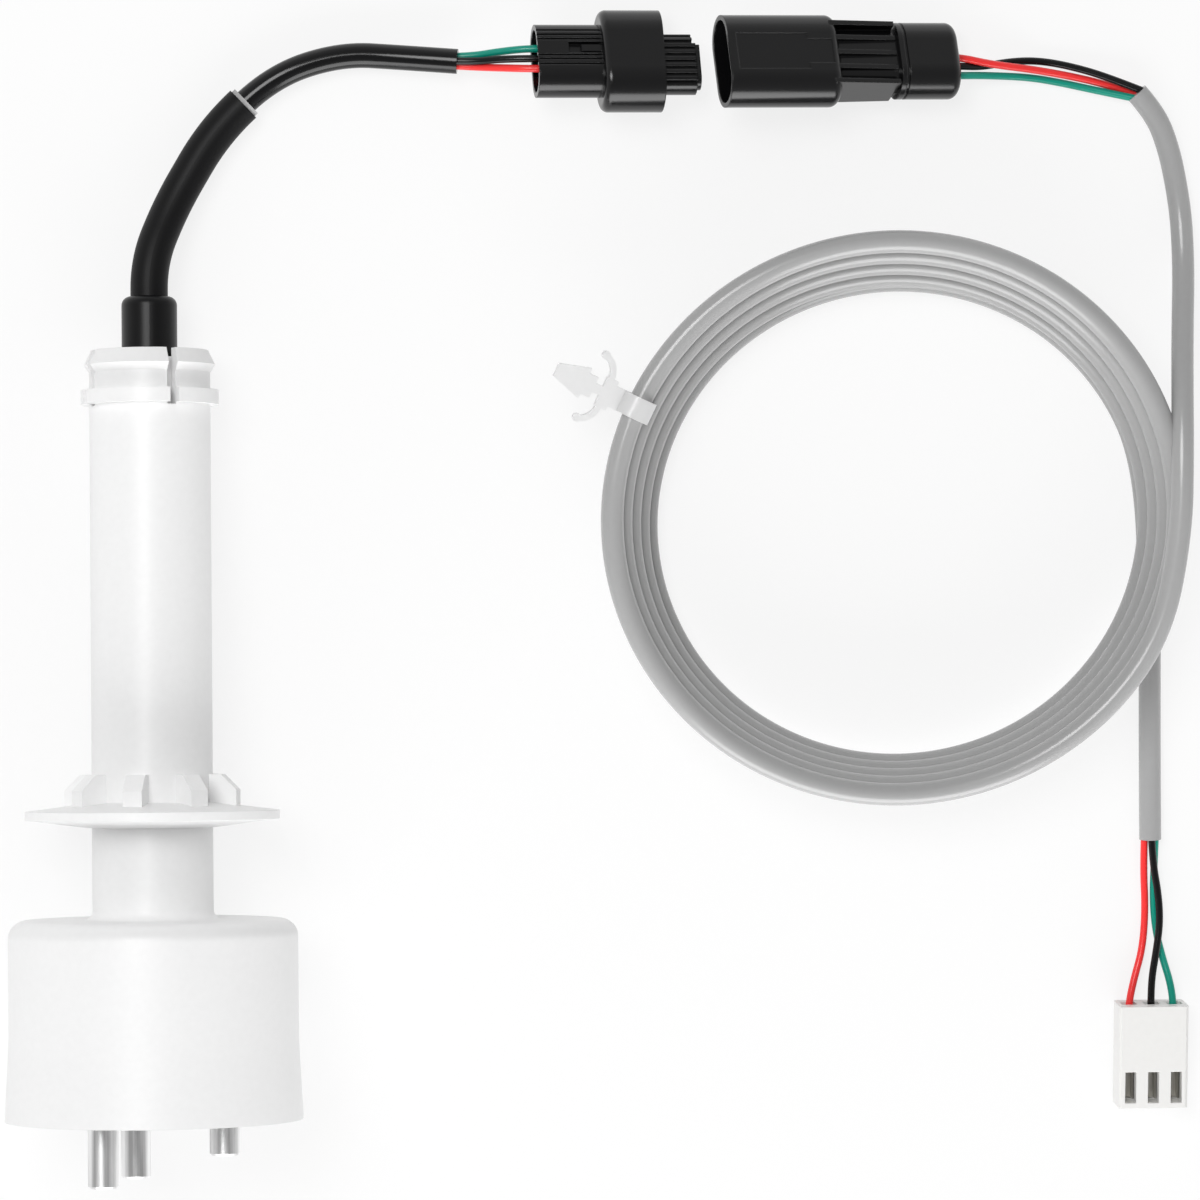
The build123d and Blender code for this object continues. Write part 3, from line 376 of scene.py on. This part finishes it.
def add_grain(tree, shader, scale, strength, depth, stretch=(1, 1, 1), edge=0.0):
    """A fine bump over the surface, in the object's own coordinates, and softly rounded edges."""
    place = tree.nodes.new("ShaderNodeTexCoord")
    mapping = tree.nodes.new("ShaderNodeMapping")
    mapping.inputs["Scale"].default_value = stretch
    noise = tree.nodes.new("ShaderNodeTexNoise")
    noise.inputs["Scale"].default_value = scale
    noise.inputs["Detail"].default_value = NOISE_DETAIL
    bump = tree.nodes.new("ShaderNodeBump")
    bump.inputs["Strength"].default_value = strength
    bump.inputs["Distance"].default_value = depth
    tree.links.new(place.outputs["Object"], mapping.inputs["Vector"])
    tree.links.new(mapping.outputs["Vector"], noise.inputs["Vector"])
    if edge:
        rounded = tree.nodes.new("ShaderNodeBevel")
        rounded.samples = EDGE_SAMPLES
        rounded.inputs["Radius"].default_value = edge
        tree.links.new(rounded.outputs["Normal"], bump.inputs["Normal"])
    tree.links.new(noise.outputs["Fac"], bump.inputs["Height"])
    tree.links.new(bump.outputs["Normal"], shader.inputs["Normal"])
    return noise


def add_shift(tree, shader, noise, colour, shares):
    """The base colour varies softly between two shades, each a share of the colour."""
    ramp = tree.nodes.new("ShaderNodeValToRGB")
    for element, position, share in zip(ramp.color_ramp.elements, SHIFT_POSITIONS, shares):
        element.position = position
        element.color = (*[value * share for value in colour], 1)
    tree.links.new(noise.outputs["Fac"], ramp.inputs["Fac"])
    tree.links.new(ramp.outputs["Color"], shader.inputs["Base Color"])


def plastic(name, colour, roughness, coat=0.0, gloss=0.5, grain=0.25, edge=0.0):
    """Moulded plastic or rubber, with a very fine uneven surface."""
    material, tree, shader = principled(name, colour, roughness, coat=coat, gloss=gloss)
    noise = add_grain(tree, shader, GRAIN_SCALE, grain, GRAIN_DEPTH, edge=edge)
    add_shift(tree, shader, noise, colour, PLASTIC_SHARES)
    return material


def metal(name, colour, roughness):
    """Drawn metal with fine marks along the rods, some of them darker."""
    material, tree, shader = principled(name, colour, roughness, metallic=1.0)
    noise = add_grain(tree, shader, MARK_SCALE, MARK_STRENGTH, MARK_DEPTH, stretch=MARK_STRETCH)
    add_shift(tree, shader, noise, colour, METAL_SHARES)
    return material


MATERIALS = {name: plastic(name, **look) for name, look in PLASTICS.items()}
MATERIALS |= {name: metal(name, **look) for name, look in METALS.items()}
for name, values in EXTRA_VALUES.items():
    for socket, value in values.items():
        MATERIALS[name].node_tree.nodes["Principled BSDF"].inputs[socket].default_value = value


def smooth_seams(piece):
    """Shades a piece as one curved surface where its faces only meet along a seam."""
    tree = bpy.data.node_groups.new("smooth_seams", "GeometryNodeTree")
    for direction in ("INPUT", "OUTPUT"):
        tree.interface.new_socket("Geometry", in_out=direction, socket_type="NodeSocketGeometry")
    inlet = tree.nodes.new("NodeGroupInput")
    outlet = tree.nodes.new("NodeGroupOutput")
    joined = tree.nodes.new("GeometryNodeMergeByDistance")
    joined.inputs["Distance"].default_value = SEAM_GAP
    turn = tree.nodes.new("GeometryNodeInputMeshEdgeAngle")
    sharp = tree.nodes.new("FunctionNodeCompare")
    sharp.operation = "GREATER_THAN"
    sharp.inputs["B"].default_value = SHARP_ANGLE
    normals = tree.nodes.new("GeometryNodeSetMeshNormal")
    normals.inputs["Remove Custom"].default_value = True
    tree.links.new(inlet.outputs["Geometry"], joined.inputs["Geometry"])
    tree.links.new(joined.outputs["Geometry"], normals.inputs["Mesh"])
    tree.links.new(turn.outputs["Unsigned Angle"], sharp.inputs["A"])
    tree.links.new(sharp.outputs["Result"], normals.inputs["Edge Sharpness"])
    tree.links.new(normals.outputs["Mesh"], outlet.inputs["Geometry"])
    piece.modifiers.new("smooth_seams", "NODES").node_group = tree


def dress(piece, slot):
    """Gives a piece the one material named by its slot."""
    piece.data.materials.clear()
    piece.data.materials.append(MATERIALS[slot])


for entry in frame["record"]["subparts"]:
    node = frame["nodes"][entry["node"]]
    dress(node, entry["material_slot"])
smooth_seams(frame["nodes"]["probe_housing"])
dress(lead, "lead_black")
dress(cable, "cable_grey")
for colour in LEAD_WIRE_ROUTES:
    dress(bpy.data.objects[f"lead_wire_{colour}_curve"], f"wire_{colour}")
    for group in ("plug_wire", "header_wire"):
        dress(wires[f"{group}_{colour}"], f"wire_{colour}")


def make_table():
    """A pale table, white to the camera and in reflections, with the object's shadow on it."""
    place = (TABLE_CENTRE[0], TABLE_CENTRE[1], -TABLE_GAP)
    bpy.ops.mesh.primitive_plane_add(size=TABLE_SIZE, location=place)
    floor = bpy.context.object
    floor.name = "table"
    colour = (TABLE_SHADE, TABLE_SHADE, TABLE_SHADE)
    material, tree, shader = principled("table_white", colour, TABLE_ROUGHNESS)
    path = tree.nodes.new("ShaderNodeLightPath")
    glossy = tree.nodes.new("ShaderNodeMath")
    glossy.operation = "MAXIMUM"
    seen = tree.nodes.new("ShaderNodeMath")
    seen.operation = "MAXIMUM"
    share = tree.nodes.new("ShaderNodeMath")
    share.operation = "MULTIPLY"
    share.inputs[1].default_value = TABLE_WHITE_SHARE
    white = tree.nodes.new("ShaderNodeEmission")
    white.inputs["Strength"].default_value = 1
    mix = tree.nodes.new("ShaderNodeMixShader")
    tree.links.new(path.outputs["Is Glossy Ray"], glossy.inputs[0])
    tree.links.new(path.outputs["Is Transmission Ray"], glossy.inputs[1])
    tree.links.new(path.outputs["Is Camera Ray"], seen.inputs[0])
    tree.links.new(glossy.outputs["Value"], seen.inputs[1])
    tree.links.new(seen.outputs["Value"], share.inputs[0])
    tree.links.new(share.outputs["Value"], mix.inputs["Fac"])
    tree.links.new(shader.outputs["BSDF"], mix.inputs[1])
    tree.links.new(white.outputs["Emission"], mix.inputs[2])
    tree.links.new(mix.outputs["Shader"], tree.nodes["Material Output"].inputs["Surface"])
    floor.data.materials.append(material)


def area_light(name, place, target, size, power):
    """A soft lamp that points at target, with its width and height as size."""
    data = bpy.data.lights.new(name, "AREA")
    data.shape = "RECTANGLE"
    data.size = size[0]
    data.size_y = size[1]
    data.energy = power
    lamp = bpy.data.objects.new(name, data)
    bpy.context.collection.objects.link(lamp)
    lamp.location = place
    direction = Vector(target) - Vector(place)
    lamp.rotation_euler = direction.to_track_quat("-Z", "Y").to_euler()


def light_room():
    """Light from all round, brightest at the horizon and dimmer overhead."""
    world = bpy.data.worlds.new("room")
    bpy.context.scene.world = world
    world.use_nodes = True
    room = world.node_tree
    direction = room.nodes.new("ShaderNodeTexCoord")
    height = room.nodes.new("ShaderNodeSeparateXYZ")
    falloff = room.nodes.new("ShaderNodeValToRGB")
    falloff.color_ramp.elements[0].color = (1, 1, 1, 1)
    falloff.color_ramp.elements[1].color = (ZENITH_SHARE, ZENITH_SHARE, ZENITH_SHARE, 1)
    room.links.new(direction.outputs["Generated"], height.inputs["Vector"])
    room.links.new(height.outputs["Z"], falloff.inputs["Fac"])
    room.links.new(falloff.outputs["Color"], room.nodes["Background"].inputs["Color"])
    room.nodes["Background"].inputs["Strength"].default_value = WORLD_STRENGTH


make_table()
area_light("key", KEY_PLACE, TABLE_CENTRE, KEY_SIZE, KEY_POWER)
area_light("panel", PANEL_PLACE, PANEL_TARGET, PANEL_SIZE, PANEL_POWER)
light_room()

bpy.context.scene.view_settings.view_transform = "Standard"

bpy.context.view_layer.update()
